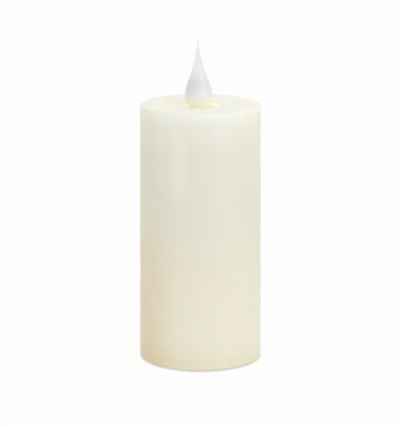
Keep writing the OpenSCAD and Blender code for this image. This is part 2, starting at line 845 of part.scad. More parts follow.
module switch_body() {
    wall = 0.9;
    slot = [8.6, 3];
    color("silver")
        difference() {
            translate([-switch_size[0] / 2, switch_y - switch_size[1] / 2, switch_z]) cube(switch_size);
            translate([0, switch_y, switch_z + wall])
                linear_extrude(2.4)
                    square([switch_size[0] - 2 * wall, switch_size[1] - 2 * wall], center = true);
            translate([0, switch_y, switch_z - 1]) linear_extrude(wall + 2) square(slot, center = true);
        }
}

// The slider rests at the lit end of its travel, towards -X
module switch_slider() {
    shoe = [5, 3.6, 2];
    knob = [3.2, 2.4];
    knob_low_z = base_z + 0.5;
    shoe_z = switch_z + 1.1;
    color("black")
        translate([-switch_travel / 2, switch_y, 0]) {
            translate([-shoe[0] / 2, -shoe[1] / 2, shoe_z]) cube(shoe);
            difference() {
                translate([-knob[0] / 2, -knob[1] / 2, knob_low_z])
                    cube([knob[0], knob[1], shoe_z - knob_low_z + 0.5]);
                for (x = [-0.9, 0, 0.9])
                    translate([x - 0.15, -knob[1], knob_low_z - 1]) cube([0.3, 2 * knob[1], 1.3]);
            }
        }
}

module switch_board() {
    top = switch_z + switch_size[2];
    color("seagreen")
        difference() {
            translate([0, switch_y, top]) linear_extrude(1) round_rect([17, 7.6], 1);
            for (x = [-1, 1] * switch_post_x) translate([x, switch_y, top - 1]) cylinder(r = 0.8, h = 3);
            for (x = [-3.75 : 2.5 : 3.75]) translate([x, switch_y, top - 1]) cylinder(r = 0.45, h = 3);
        }
}

module switch_terminals() {
    top = switch_z + switch_size[2];
    color("silver")
        for (x = [-3.75 : 2.5 : 3.75]) translate([x, switch_y, top]) cylinder(r = 0.35, h = 2);
}

// ---------------------------------------------------------------- wires

wire_r = 0.6;

module one_wire(curves, steps = 10, ref = [0, 1, 0]) rod_along(curve_path(curves, steps), wire_r, 8, ref);

// A battery lead from the tab of a contact to the edge of the circuit board
module battery_wire(side) {
    tab_x = -contact_x + plate_t + wire_r + run_gap;
    tab_y = side * cell_pitch / 2;
    tab_z = bay_roof_z + 2.2;
    pad = [-17, tab_y * 0.55];
    one_wire([[
        [tab_x, tab_y, tab_z],
        [tab_x, tab_y, tab_z + 10],
        [pad[0], pad[1], board_top_z + 9],
        [pad[0], pad[1], board_top_z + run_gap],
    ]]);
}

module red_battery_wire() color("firebrick") battery_wire(-1);

module black_battery_wire() color("black") battery_wire(1);

// Two wires from the switch's board to its plug on the circuit board
module switch_wires() {
    plug = connector_places[2];
    low_z = switch_z + switch_size[2] + 1.2;
    high_z = socket_z + 0.2;
    color("gold")
        for (side = [-1, 1])
            one_wire([[
                [side * 2.5, switch_y - 2.2, low_z],
                [side * 2.5, switch_y - 2.6, low_z + 14],
                [plug[0] + side * socket_x, plug[1], high_z + 14],
                [plug[0] + side * socket_x, plug[1], high_z],
            ]], 12, [1, 0, 0]);
}

// A pair of wires from a plug up through the roof of the core, on one side of the candle. They come in
// towards approach_z and stop at end, which is a distance from the middle of the candle and a height.
module riser_pair(plug, side, approach_z, end) {
    low_z = socket_z + 0.2;
    bundle_x = 9;
    bundle_y = 0.75;
    bundle_z = low_z + 48;
    slot_y = 0.68;
    slot_z = core_top_z - 8;
    for (s = [-1, 1])
        one_wire([
            [
                [plug[0] + socket_x * s, plug[1], low_z],
                [plug[0] + socket_x * s, plug[1], low_z + 22],
                [side * bundle_x + 0.8 * s, bundle_y * s, low_z + 30],
                [side * bundle_x, bundle_y * s, bundle_z],
            ],
            [
                [side * bundle_x, bundle_y * s, bundle_z],
                [side * bundle_x, bundle_y * s, bundle_z + 14],
                [side * riser_x, slot_y * s, slot_z - 10],
                [side * riser_x, slot_y * s, slot_z],
            ],
            [
                [side * riser_x, slot_y * s, slot_z],
                [side * riser_x, slot_y * s, core_top_z],
                [side * riser_x, slot_y * s, approach_z],
                [side * end[0], slot_y * s, end[1]],
            ],
        ]);
}

module led_wires()
    color("firebrick")
        riser_pair(connector_places[0], 1, drive_floor_z + 2, [11.6, led_board_z - run_gap]);

module coil_wires() {
    end_z = drive_floor_z + drive_floor_t + 5.5;
    color("royalblue") riser_pair(connector_places[1], -1, end_z + 2.5, [winding_r + 0.45, end_z]);
}

// ---------------------------------------------------------------- assembly

wax_shell();
glue_pads();
flame_shell();
flame_stem();
flame_magnet();
pivot_wire();
mechanism_left();
mechanism_right();
mechanism_screws();
coil_bobbin();
coil_winding();
led_board();
left_led();
right_led();
core_housing();
mount_screws();
base();
base_screws();
rubber_feet();
battery_door();
rear_battery();
front_battery();
series_contact();
positive_contact();
negative_contact();
circuit_board();
board_screws();
controller_chip();
timer_crystal();
capacitor();
transistors();
resistors();
wire_connectors();
switch_body();
switch_slider();
switch_board();
switch_terminals();
red_battery_wire();
black_battery_wire();
switch_wires();
led_wires();
coil_wires();
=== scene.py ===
"""The looks of a flameless LED candle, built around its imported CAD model.

The CAD parts keep their shapes and get a finish, and the wax pillar, the flame and the
cells are replaced by finer meshes. Lengths are in metres, except in the materials, where
patterns are in millimetres. The origin is on the table under the middle of the pillar.
"""

import json
import math

import bmesh
import bpy
from mathutils import Matrix, Vector, noise

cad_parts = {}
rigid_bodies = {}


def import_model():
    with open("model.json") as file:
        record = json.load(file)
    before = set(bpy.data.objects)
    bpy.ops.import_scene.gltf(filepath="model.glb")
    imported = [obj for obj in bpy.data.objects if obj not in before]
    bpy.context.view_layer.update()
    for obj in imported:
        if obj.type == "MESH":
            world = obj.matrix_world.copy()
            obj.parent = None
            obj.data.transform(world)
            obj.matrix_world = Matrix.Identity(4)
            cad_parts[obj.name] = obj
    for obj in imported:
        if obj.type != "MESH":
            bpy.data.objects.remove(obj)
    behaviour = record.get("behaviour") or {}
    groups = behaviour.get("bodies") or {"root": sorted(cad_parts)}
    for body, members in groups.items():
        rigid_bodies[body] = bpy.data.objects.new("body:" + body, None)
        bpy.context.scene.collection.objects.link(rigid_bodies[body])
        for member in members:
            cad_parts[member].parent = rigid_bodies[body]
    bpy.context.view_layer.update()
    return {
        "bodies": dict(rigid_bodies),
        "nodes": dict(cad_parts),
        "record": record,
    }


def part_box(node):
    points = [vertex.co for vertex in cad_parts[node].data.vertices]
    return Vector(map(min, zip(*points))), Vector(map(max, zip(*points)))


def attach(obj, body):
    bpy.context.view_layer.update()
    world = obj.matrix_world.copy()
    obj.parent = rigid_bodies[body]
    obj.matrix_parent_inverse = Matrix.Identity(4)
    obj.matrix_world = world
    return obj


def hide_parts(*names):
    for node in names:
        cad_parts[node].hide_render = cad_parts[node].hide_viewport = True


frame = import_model()

MM = 0.001


# ---------------------------------------------------------------- measures from the frame


def radii(node, low, high):
    """The smallest and the largest distance from the pillar's axis of a CAD node's points
    between two heights."""
    found = [
        math.hypot(v.co.x, v.co.y)
        for v in frame["nodes"][node].data.vertices
        if low <= v.co.z <= high
    ]
    return min(found), max(found)


WAX_FOOT, WAX_TOP = (corner.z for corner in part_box("wax_shell"))
WAX_FOOT_R = radii("wax_shell", WAX_FOOT, WAX_FOOT + 2 * MM)[1]
WAX_TOP_R = radii("wax_shell", WAX_TOP - 3 * MM, WAX_TOP)[1]
CAVITY_R = radii("wax_shell", WAX_FOOT, WAX_FOOT + 0.1 * MM)[0]
HOLE_R = radii("wax_shell", WAX_TOP - 6 * MM, WAX_TOP)[0]
HOLE_TOP = max(
    v.co.z
    for v in frame["nodes"]["wax_shell"].data.vertices
    if math.hypot(v.co.x, v.co.y) < HOLE_R + 1 * MM
)
CAVITY_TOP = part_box("mechanism_left")[1].z
FLAME_LOW, FLAME_HIGH = (corner.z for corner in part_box("flame_shell"))
FLAME_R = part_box("flame_shell")[1].x
FLAME_RISE = (FLAME_HIGH - WAX_TOP) / MM


# ---------------------------------------------------------------- mesh helpers


def arc(centre, radius, start, end, steps):
    """Points on a circle in the (radius, height) plane, from one angle to another, in degrees."""
    angles = [math.radians(start + (end - start) * i / steps) for i in range(steps + 1)]
    return [(centre[0] + radius * math.cos(a), centre[1] + radius * math.sin(a)) for a in angles]


def line(start, end, steps):
    """Points between two points of an outline, without the end points."""
    shares = [i / steps for i in range(1, steps)]
    return [tuple(a + (b - a) * s for a, b in zip(start, end)) for s in shares]


def wave(share):
    """Eases a share from 0 to 1."""
    return (1 - math.cos(math.pi * share)) / 2


def clamp(value):
    """A value kept between 0 and 1."""
    return max(0.0, min(1.0, value))


def bezier(points, steps):
    """Points on a cubic curve through the (radius, height) plane."""
    curve = []
    for i in range(steps + 1):
        t = i / steps
        weights = ((1 - t) ** 3, 3 * (1 - t) ** 2 * t, 3 * (1 - t) * t * t, t**3)
        curve.append(tuple(sum(w * p[k] for w, p in zip(weights, points)) for k in (0, 1)))
    return curve


def lathe(name, outline, segments, closed):
    """A turned mesh round the Z axis. A closed outline is a ring of (radius, height) points,
    and an open one starts and ends on the axis."""
    mesh = bmesh.new()
    turns = [2 * math.pi * i / segments for i in range(segments)]
    rings = []
    for radius, height in outline:
        angles = turns[:1] if radius < 1e-7 else turns
        rings.append([
            mesh.verts.new((radius * math.cos(a), radius * math.sin(a), height)) for a in angles
        ])
    pairs = list(zip(rings, rings[1:] + ([rings[0]] if closed else [])))
    for low, high in pairs[: len(rings) if closed else len(rings) - 1]:
        for i in range(segments):
            j = (i + 1) % segments
            below = [low[i % len(low)], low[j % len(low)]]
            above = [high[j % len(high)], high[i % len(high)]]
            distinct = list(dict.fromkeys(below + above))
            if len(distinct) > 2:
                mesh.faces.new(distinct)
    bmesh.ops.recalc_face_normals(mesh, faces=mesh.faces)
    for face in mesh.faces:
        face.smooth = True
    return from_bmesh(name, mesh)


def from_bmesh(name, mesh):
    """A new object in the scene that holds a bmesh."""
    data = bpy.data.meshes.new(name)
    mesh.to_mesh(data)
    mesh.free()
    piece = bpy.data.objects.new(name, data)
    bpy.context.scene.collection.objects.link(piece)
    return piece


def move_points(piece, rule):
    """Moves each point of a mesh to where rule(point) puts it."""
    for vertex in piece.data.vertices:
        vertex.co = rule(vertex.co.copy())
    piece.data.update()


def keep_edges(piece, degrees):
    """Smooth shading with creases where faces meet at more than an angle."""
    piece.data.set_sharp_from_angle(angle=math.radians(degrees))


def stand_in(piece, node, body, material):
    """Puts a new piece in the place of a CAD node."""
    piece.data.materials.clear()
    piece.data.materials.append(material)
    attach(piece, body)
    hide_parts(node)


# ---------------------------------------------------------------- material helpers


class Graph:
    """A node tree under construction, with short names for the nodes that the finishes share."""

    def __init__(self, tree):
        self.tree = tree

    def add(self, kind, **settings):
        node = self.tree.nodes.new(kind)
        for key, value in settings.items():
            setattr(node, key, value)
        return node

    def link(self, source, target):
        """Joins a socket or a plain value to a socket."""
        if isinstance(source, bpy.types.NodeSocket):
            self.tree.links.new(source, target)
        else:
            target.default_value = source

    def maths(self, operation, a, b=0.0):
        node = self.add("ShaderNodeMath", operation=operation)
        self.link(a, node.inputs[0])
        self.link(b, node.inputs[1])
        return node.outputs[0]

    def product(self, first, *others):
        """Values multiplied together."""
        for other in others:
            first = self.maths("MULTIPLY", first, other)
        return first

    def total(self, first, *others):
        """Values added together."""
        for other in others:
            first = self.maths("ADD", first, other)
        return first

    def part(self, vector, letter):
        """One component of a vector."""
        parts = self.add("ShaderNodeSeparateXYZ")
        self.link(vector, parts.inputs["Vector"])
        return parts.outputs[letter]

    def spread(self, value, low, high, to_low=0.0, to_high=1.0, smooth=False):
        """Maps low..high to to_low..to_high, and clamps."""
        kind = "SMOOTHSTEP" if smooth else "LINEAR"
        node = self.add("ShaderNodeMapRange", interpolation_type=kind)
        self.link(value, node.inputs["Value"])
        node.inputs["From Min"].default_value = low
        node.inputs["From Max"].default_value = high
        node.inputs["To Min"].default_value = to_low
        node.inputs["To Max"].default_value = to_high
        return node.outputs["Result"]

    def mix(self, share, a, b, blend="MIX"):
        """A colour between a and b."""
        node = self.add("ShaderNodeMix", data_type="RGBA", blend_type=blend)
        factor, first, second = node.inputs[0], node.inputs[6], node.inputs[7]
        self.link(share, factor)
        self.link(a, first)
        self.link(b, second)
        return node.outputs[2]

    def blend(self, share, a, b):
        """A shader between a and b."""
        node = self.add("ShaderNodeMixShader")
        self.link(share, node.inputs[0])
        self.link(a, node.inputs[1])
        self.link(b, node.inputs[2])
        return node.outputs[0]

    def glow(self, kind, strength, colour=(1, 1, 1, 1)):
        """An emission or background shader of plain light."""
        node = self.add(kind)
        self.link(colour, node.inputs["Color"])
        self.link(strength, node.inputs["Strength"])
        return node.outputs[0]


class Finish(Graph):
    """A material for the object, with its patterns measured in millimetres in the frame."""

    def __init__(self, name, roughness=0.5, metallic=0.0, ior=1.46, edge_mm=0.0):
        self.material = bpy.data.materials.new(name)
        self.material.use_nodes = True
        super().__init__(self.material.node_tree)
        self.shader = self.tree.nodes["Principled BSDF"]
        self.set("Roughness", roughness)
        self.set("Metallic", metallic)
        self.set("IOR", ior)
        scale = self.add("ShaderNodeMapping")
        scale.inputs["Scale"].default_value = [1 / MM] * 3
        self.link(self.add("ShaderNodeTexCoord").outputs["Object"], scale.inputs["Vector"])
        self.mm = scale.outputs["Vector"]
        self.normal = None
        if edge_mm:
            edge = self.add("ShaderNodeBevel", samples=4)
            edge.inputs["Radius"].default_value = edge_mm * MM
            self.normal = edge.outputs["Normal"]

    def set(self, name, source):
        self.link(source, self.shader.inputs[name])

    def noise(self, size, detail=3.0, stretch=(1, 1, 1), offset=0.0):
        """Noise from 0 to 1 whose blotches are about size millimetres wide."""
        mapping = self.add("ShaderNodeMapping")
        mapping.inputs["Scale"].default_value = [s / size for s in stretch]
        mapping.inputs["Location"].default_value = (offset, offset, offset)
        texture = self.add("ShaderNodeTexNoise")
        texture.inputs["Scale"].default_value = 1.0
        texture.inputs["Detail"].default_value = detail
        self.link(self.mm, mapping.inputs["Vector"])
        self.link(mapping.outputs["Vector"], texture.inputs["Vector"])
        return texture.outputs["Fac"]

    def patches(self, low, high, size, **settings):
        """Noise stretched so that low..high fills 0 to 1."""
        return self.spread(self.noise(size, **settings), low, high)

    def axis(self, letter):
        """One coordinate, in millimetres."""
        return self.part(self.mm, letter)

    def radius(self):
        """Distance from the pillar's axis, in millimetres."""
        x, y = self.axis("X"), self.axis("Y")
        return self.maths("SQRT", self.total(self.product(x, x), self.product(y, y)))

    def ramp(self, value, stops):
        """A colour that runs through (value, colour) stops, from 0 to 1."""
        node = self.add("ShaderNodeValToRGB")
        elements = node.color_ramp.elements
        for element, (place, colour) in zip(elements, (stops[0], stops[-1])):
            element.position = place
            element.color = colour
        for place, colour in stops[1:-1]:
            elements.new(place).color = colour
        self.link(value, node.inputs["Fac"])
        return node.outputs["Color"]

    def bump(self, height, depth_mm):
        """Relief of a height from 0 to 1, with depth_mm between the two, on top of the relief
        made before."""
        node = self.add("ShaderNodeBump")
        node.inputs["Distance"].default_value = depth_mm * MM
        self.link(height, node.inputs["Height"])
        if self.normal is not None:
            self.link(self.normal, node.inputs["Normal"])
        self.normal = node.outputs["Normal"]
        self.set("Normal", self.normal)


def srgb(red, green, blue):
    """A linear colour from display values of 0 to 255."""
    shares = [c / 255 for c in (red, green, blue)]
    linear = [c / 12.92 if c <= 0.04 else ((c + 0.055) / 1.055) ** 2.4 for c in shares]
    return (*linear, 1.0)


# ---------------------------------------------------------------- materials


def wax_colour_and_painted_shading(f, left):
    """The wax's colour by height: cream at the foot and paler above, the paleness being painted light
    from above;
    browner low on the left, which is painted warm shade; with clouds and faint runs down the side."""
    rise = f.spread(f.axis("Z"), WAX_FOOT / MM, WAX_TOP / MM)
    # Painted light from above: the stops grow paler towards the top.
    body = f.ramp(rise, [
        (0.0, srgb(240, 230, 206)),
        (0.12, srgb(248, 238, 223)),
        (0.35, srgb(244, 236, 219)),
        (0.60, srgb(238, 233, 222)),
        (0.84, srgb(241, 235, 225)),
        (0.93, srgb(251, 243, 231)),
        (0.985, srgb(255, 249, 242)),
        (0.993, srgb(254, 250, 241)),
    ])
    # Painted warm shade: browner low on the left, strongest near the foot.
    low = f.spread(rise, 0.35, 0.70, 1.0, 0.0, smooth=True)
    depth = f.spread(rise, 0.0, 0.22, 1.0, 0.6)
    body = f.mix(f.product(low, left, depth), body, srgb(238, 219, 186))
    clouds = f.patches(0.4, 0.7, 24, detail=3)
    body = f.mix(f.product(clouds, 0.25), body, srgb(248, 242, 226))
    runs = f.patches(0.4, 0.75, 11, detail=2, stretch=(1, 1, 0.06), offset=4)
    return f.mix(f.product(runs, 0.12), body, srgb(228, 219, 192))


def wax_highlight_and_bloom(f, body):
    """Adds a painted highlight, a pale upright stripe on the front left of the middle, and a thin
    bloom all over.
    """
    # Painted highlight: a pale upright stripe where a lamp's sheen would lie on the front left.
    highlight_x, highlight_z, highlight_share = -12.8, 129, 0.32
    across = f.maths("ABSOLUTE", f.maths("SUBTRACT", f.axis("X"), highlight_x))
    along = f.maths("ABSOLUTE", f.maths("SUBTRACT", f.axis("Z"), highlight_z))
    painted_highlight = f.product(
        f.spread(across, 1.5, 6.5, 1.0, 0.0, smooth=True),
        f.spread(along, 12, 30, 1.0, 0.0, smooth=True),
        f.spread(f.axis("Y"), -30, -20, highlight_share, 0.0),
    )
    body = f.mix(painted_highlight, body, srgb(255, 249, 240))
    bloom = f.patches(0.5, 0.8, 3, detail=5, offset=7)
    return f.mix(f.product(bloom, 0.15), body, srgb(250, 248, 240))


def wax_painted_shade(f, body, left, upward):
    """Paints shade: greys the top rim, the last millimetres above the foot and the rounded edge of the
    foot.
    """
    foot, foot_r, top_r = WAX_FOOT / MM, WAX_FOOT_R / MM, WAX_TOP_R / MM
    # Painted shade: the up-facing top rim is greyed.
    rim = f.product(f.spread(f.radius(), top_r - 2.6, top_r - 0.8), f.spread(upward, 0.15, 0.7))
    body = f.mix(rim, body, srgb(243, 240, 231))
    # Painted shade: darker over the last millimetres above the foot, more on the left.
    foot_shade = f.product(
        f.spread(f.axis("Z"), foot, foot + 9, 1.0, 0.0),
        f.spread(left, 0.0, 1.0, 0.3, 1.0),
    )
    body = f.mix(foot_shade, body, (0.88, 0.90, 0.92, 1), blend="MULTIPLY")
    # Painted shade: the rounded edge of the foot is darkened further, as contact shade.
    foot_rounding_shade = f.product(
        f.spread(f.axis("Z"), foot + 0.2, foot + 1.4, 1.0, 0.0),
        f.spread(f.radius(), foot_r - 1.0, foot_r - 0.4),
    )
    return f.mix(foot_rounding_shade, body, (0.78, 0.77, 0.79, 1), blend="MULTIPLY")


def wax_glow(f, lip):
    """The light of the lamps in the wax: in the bore, in the lip and in the top just round it."""
    hole_r, hole_top = HOLE_R / MM, HOLE_TOP / MM
    bore_light, lip_light, ring_light = 0.17, 0.09, 0.03
    bore = f.spread(f.radius(), hole_r + 0.1, hole_r + 0.7, 1.0, 0.0)
    ring = f.product(
        f.spread(f.radius(), hole_r + 0.5, hole_r + 2.8, 1.0, 0.0),
        f.spread(f.axis("Z"), hole_top - 0.8, hole_top - 0.3),
    )
    f.set("Emission Color", srgb(255, 253, 212))
    f.set("Emission Strength", f.total(
        f.product(bore, bore_light),
        f.product(lip, lip_light),
        f.product(ring, ring_light),
    ))


def wax_surface(f, upward, facing):
    """Light sinks in, except from below, and the sheen fades where the side turns away."""
    f.set("Subsurface Weight", f.spread(upward, -0.9, -0.4, 0.0, 0.8))
    f.set("Subsurface Radius", (1.0, 0.75, 0.5))
    f.set("Subsurface Scale", 5 * MM)
    f.set("Specular IOR Level", f.spread(facing, 0.35, 0.75, 0.4, 0.04))
    f.set("Roughness", f.spread(f.noise(5, detail=5, offset=3), 0.3, 0.7, 0.30, 0.40))
    f.bump(f.noise(9, detail=2, offset=11), 0.08)
    f.bump(f.noise(0.8), 0.003)


def wax_material():
    """Ivory paraffin, poured and a little cloudy, and lit from inside at the hole."""
    f = Finish("ivory_wax", ior=1.43)
    left = f.spread(f.axis("X"), -38, -8, 1.0, 0.0, smooth=True)
    lip = f.spread(f.radius(), HOLE_R / MM, HOLE_R / MM + 4, 1.0, 0.0, smooth=True)
    upward = f.part(f.add("ShaderNodeTexCoord").outputs["Normal"], "Z")
    facing = f.add("ShaderNodeLayerWeight").outputs["Facing"]
    body = wax_highlight_and_bloom(f, wax_colour_and_painted_shading(f, left))
    body = wax_painted_shade(f, body, left, upward)
    # Painted light: the wax round the hole takes the yellow of the lamps' glow.
    body = f.mix(lip, body, srgb(247, 243, 216))
    # Painted shade: darker where the side turns away from the view.
    turned = f.spread(facing, 0.12, 0.6)
    f.set("Base Color", f.mix(turned, body, (0.94, 0.95, 0.92, 1), blend="MULTIPLY"))
    wax_glow(f, lip)
    wax_surface(f, upward, facing)
    return f.material


def flame_colour(f, height):
    """White, with painted shade greying it round the belly and at its edges, and painted light making
    the left of the thin point paler, where light comes through."""
    # Painted light and shade by height: greyer round the upper belly.
    body = f.ramp(f.spread(height, -4, 40), [
        (0.0, srgb(230, 230, 214)),
        (0.12, srgb(238, 239, 232)),
        (0.18, srgb(243, 245, 243)),
        (0.28, srgb(241, 242, 246)),
        (0.36, srgb(233, 234, 237)),
        (0.43, srgb(231, 231, 232)),
        (1.0, srgb(232, 232, 232)),
    ])
    side = f.part(f.add("ShaderNodeTexCoord").outputs["Normal"], "X")
    # Painted shade: darker at the left and right edges of the belly.
    edges = f.product(
        f.total(f.spread(side, -0.75, -0.2, 0.55, 0.0), f.spread(side, 0.45, 0.95)),
        f.spread(height, 14, 19, 1.0, 0.0),
    )
    body = f.mix(edges, body, (0.94, 0.94, 0.92, 1), blend="MULTIPLY")
    # Painted light: paler on the left of the thin point.
    thin = f.product(f.spread(height, 15, 24, smooth=True), f.spread(side, -0.9, 0.3, 1.0, 0.0))
    body = f.mix(thin, body, srgb(250, 250, 250))
    clouds = f.patches(0.3, 0.7, 6, detail=2)
    return f.mix(clouds, body, (0.96, 0.96, 0.97, 1), blend="MULTIPLY")


def flame_glow(f, height):
    """The light of the lamps in the flame: warm down in the hole, white in the foot and faint
    in the point."""
    hole_light, foot_light, point_light = 0.14, 0.20, 0.05
    in_hole = f.spread(height, -1.6, 1.2, 1.0, 0.0)
    foot = f.spread(height, -2.5, 7.0, 1.0, 0.0, smooth=True)
    point = f.spread(height, 13, 18, smooth=True)
    white = f.mix(foot, srgb(255, 255, 255), srgb(252, 252, 240))
    f.set("Emission Color", f.mix(in_hole, white, srgb(255, 250, 205)))
    f.set("Emission Strength", f.total(
        f.product(foot, foot_light),
        f.product(point, point_light),
        f.product(in_hole, hole_light),
    ))


def flame_material():
    """Frosted plastic. Heights are measured from the top of the wax."""
    f = Finish("frosted_flame", ior=1.49)
    height = f.maths("SUBTRACT", f.axis("Z"), WAX_TOP / MM)
    f.set("Base Color", flame_colour(f, height))
    flame_glow(f, height)
    f.set("Subsurface Weight", 0.4)
    f.set("Subsurface Radius", (1.0, 0.95, 0.9))
    f.set("Subsurface Scale", 1.2 * MM)
    f.set("Roughness", f.spread(f.noise(1.5, detail=4), 0.3, 0.7, 0.34, 0.44))
    f.bump(f.noise(0.25, detail=2), 0.004)
    return f.material


def plastic(name, colour, roughness=0.42, grain=0.35, depth=0.012):
    """Moulded plastic with a fine spark-eroded grain, rounded edges and a slightly uneven colour."""
    f = Finish(name, ior=1.5, edge_mm=0.2)
    shade = [0.93 * c for c in colour[:3]] + [1.0]
    f.set("Base Color", f.mix(f.patches(0.35, 0.65, 14), colour, shade))
    wear = f.noise(2.5, detail=4, offset=5)
    f.set("Roughness", f.spread(wear, 0.3, 0.7, roughness - 0.05, roughness + 0.07))
    f.bump(f.noise(grain, detail=2), depth)
    return f.material


def metal(name, colour, roughness=0.28, stretch=(1, 1, 14), depth=0.004):
    """Drawn or turned metal with fine lines across one axis and faint tarnish."""
    f = Finish(name, metallic=1.0, edge_mm=0.12)
    dull = [0.72 * c for c in colour[:3]] + [1.0]
    f.set("Base Color", f.mix(f.patches(0.45, 0.8, 4, detail=5), colour, dull))
    lines = f.noise(1.5, detail=4, stretch=stretch, offset=2)
    f.set("Roughness", f.spread(lines, 0.3, 0.7, roughness - 0.08, roughness + 0.12))
    f.bump(lines, depth)
    return f.material


def board_material():
    """Green solder mask over glass cloth, with the copper tracks standing out a little."""
    f = Finish("solder_mask", roughness=0.32)
    weave = f.add("ShaderNodeTexWave", wave_type="BANDS", bands_direction="X")
    weave.inputs["Scale"].default_value = 0.8
    weave.inputs["Distortion"].default_value = 7.0
    weave.inputs["Detail"].default_value = 1.0
    f.link(f.mm, weave.inputs["Vector"])
    tracks = f.spread(weave.outputs["Fac"], 0.62, 0.66)
    f.set("Base Color", f.mix(tracks, srgb(16, 84, 46), srgb(38, 118, 62)))
    f.bump(f.noise(0.4, detail=1), 0.006)
    f.bump(tracks, 0.03)
    return f.material


def winding_material():
    """Enamelled copper wire, wound in layers that show as fine rings."""
    f = Finish("copper_winding", roughness=0.3, metallic=1.0)
    pitch = 0.18
    turns = f.maths("SINE", f.product(f.axis("Z"), 2 * math.pi / pitch))
    layers = f.maths("SINE", f.product(f.radius(), 2 * math.pi / pitch))
    tarnish = f.patches(0.4, 0.7, 2, detail=4)
    f.set("Base Color", f.mix(tarnish, srgb(214, 128, 78), srgb(168, 86, 46)))
    f.bump(f.spread(f.product(turns, layers), -1, 1), 0.05)
    return f.material


def jacket_material():
    """Plain dark film on a cell, with a lacquer over it."""
    f = Finish("cell_jacket", metallic=0.35, ior=1.5)
    clouds = f.patches(0.3, 0.7, 9, detail=4)
    f.set("Base Color", f.mix(clouds, srgb(44, 50, 58), srgb(34, 39, 46)))
    f.set("Roughness", f.spread(f.noise(1.2, stretch=(0.2, 1, 1)), 0.3, 0.7, 0.22, 0.36))
    f.set("Coat Weight", 0.5)
    f.set("Coat Roughness", 0.12)
    f.bump(f.noise(0.6), 0.006)
    return f.material


def rubber_material():
    """Soft pale rubber that has picked up a little dust."""
    f = Finish("soft_rubber", ior=1.52, edge_mm=0.3)
    dust = f.patches(0.45, 0.75, 1.6, detail=6)
    f.set("Base Color", f.mix(dust, srgb(206, 202, 190), srgb(176, 170, 156)))
    f.set("Roughness", f.spread(dust, 0, 1, 0.55, 0.8))
    f.bump(f.noise(0.3), 0.015)
    return f.material


def lamp_material():
    """Warm white lamps: a lit epoxy dome over bright legs."""
    f = Finish("lamp", roughness=0.08, ior=1.54)
    board_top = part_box("led_board")[1].z / MM
    dome = f.spread(f.axis("Z"), board_top + 1.2, board_top + 1.4)
    f.set("Base Color", f.mix(dome, srgb(200, 200, 205), srgb(255, 240, 205)))
    f.set("Metallic", f.maths("SUBTRACT", 1.0, dome))
    f.set("Emission Color", srgb(255, 243, 200))
    light = f.spread(f.axis("Z"), board_top + 2.0, board_top + 9.0, 0.25, 0.9)
    f.set("Emission Strength", f.product(dome, light))
    return f.material


def insulation(name, colour):
    """Extruded wire insulation."""
    f = Finish(name, roughness=0.35, ior=1.5)
    shade = [0.8 * c for c in colour[:3]] + [1.0]
    f.set("Base Color", f.mix(f.patches(0.35, 0.65, 3), colour, shade))
    f.bump(f.noise(0.8, detail=2), 0.02)
    return f.material


def glue_material():
    """Hot-melt glue, cloudy and uneven."""
    f = Finish("hot_melt", roughness=0.3, ior=1.48)
    clouds = f.patches(0.3, 0.7, 4, detail=4)
    f.set("Base Color", f.mix(clouds, srgb(238, 228, 198), srgb(226, 212, 176)))
    f.set("Subsurface Weight", 0.4)
    f.set("Subsurface Scale", 2 * MM)
    f.bump(f.noise(1.5), 0.15)
    return f.material


def legged_part(name, body_colour, centre_y, leg_start):
    """A black part with bright legs that start at a distance from its middle plane."""
    f = Finish(name, roughness=0.45, ior=1.5, edge_mm=0.1)
    reach = f.maths("ABSOLUTE", f.maths("SUBTRACT", f.axis("Y"), centre_y))
    legs = f.spread(reach, leg_start - 0.02, leg_start + 0.02)
    f.set("Base Color", f.mix(legs, body_colour, srgb(205, 205, 205)))
    f.set("Metallic", legs)
    f.bump(f.noise(0.4), 0.01)
    return f.material


MATERIALS = {
    "wax": wax_material(),
    "flame": flame_material(),
    "stem": plastic("stem_plastic", srgb(236, 235, 230), roughness=0.38),
    "magnet": metal("nickel_plate", srgb(214, 212, 208), roughness=0.16, depth=0.001),
    "steel_wire": metal("drawn_steel", srgb(196, 197, 200), stretch=(8, 0.3, 8)),
    "mechanism": plastic("mechanism_plastic", srgb(231, 229, 222)),
    "bobbin": plastic("bobbin_plastic", srgb(236, 236, 232), roughness=0.36),
    "copper": winding_material(),
    "board": board_material(),
    "lamp": lamp_material(),
    "core": plastic("core_plastic", srgb(232, 229, 216)),
    "base": plastic("base_plastic", srgb(232, 226, 206), roughness=0.40, grain=0.45, depth=0.02),
    "screw": metal("zinc_plate", srgb(190, 192, 196), stretch=(6, 6, 1)),
    "feet": rubber_material(),
    "glue": glue_material(),
    "cell": jacket_material(),
    "contact": metal("contact_nickel", srgb(204, 202, 194), roughness=0.22),
    "black_plastic": plastic("black_plastic", srgb(24, 24, 26), roughness=0.45, grain=0.3, depth=0.01),
    "can": metal("pressed_steel", srgb(188, 190, 194), roughness=0.25, stretch=(0.4, 6, 6)),
    "sleeve": plastic("shrunk_sleeve", srgb(28, 34, 74), roughness=0.25, depth=0.004),
    "plug": plastic("plug_plastic", srgb(232, 230, 218), roughness=0.45),
    "red_wire": insulation("red_insulation", srgb(176, 34, 28)),
    "black_wire": insulation("black_insulation", srgb(24, 24, 26)),
    "yellow_wire": insulation("yellow_insulation", srgb(222, 178, 44)),
    "blue_wire": insulation("blue_insulation", srgb(40, 74, 168)),
}
OWN_MATERIALS = {
    "controller_chip": legged_part("chip", srgb(26, 26, 28), centre_y=0.0, leg_start=1.96),
    "transistors": legged_part("transistor", srgb(28, 28, 30), centre_y=6.2, leg_start=0.71),
}
NICKEL_ENDS = metal("nickel_ends", srgb(206, 205, 200), roughness=0.25)


# ---------------------------------------------------------------- pieces that replace CAD nodes


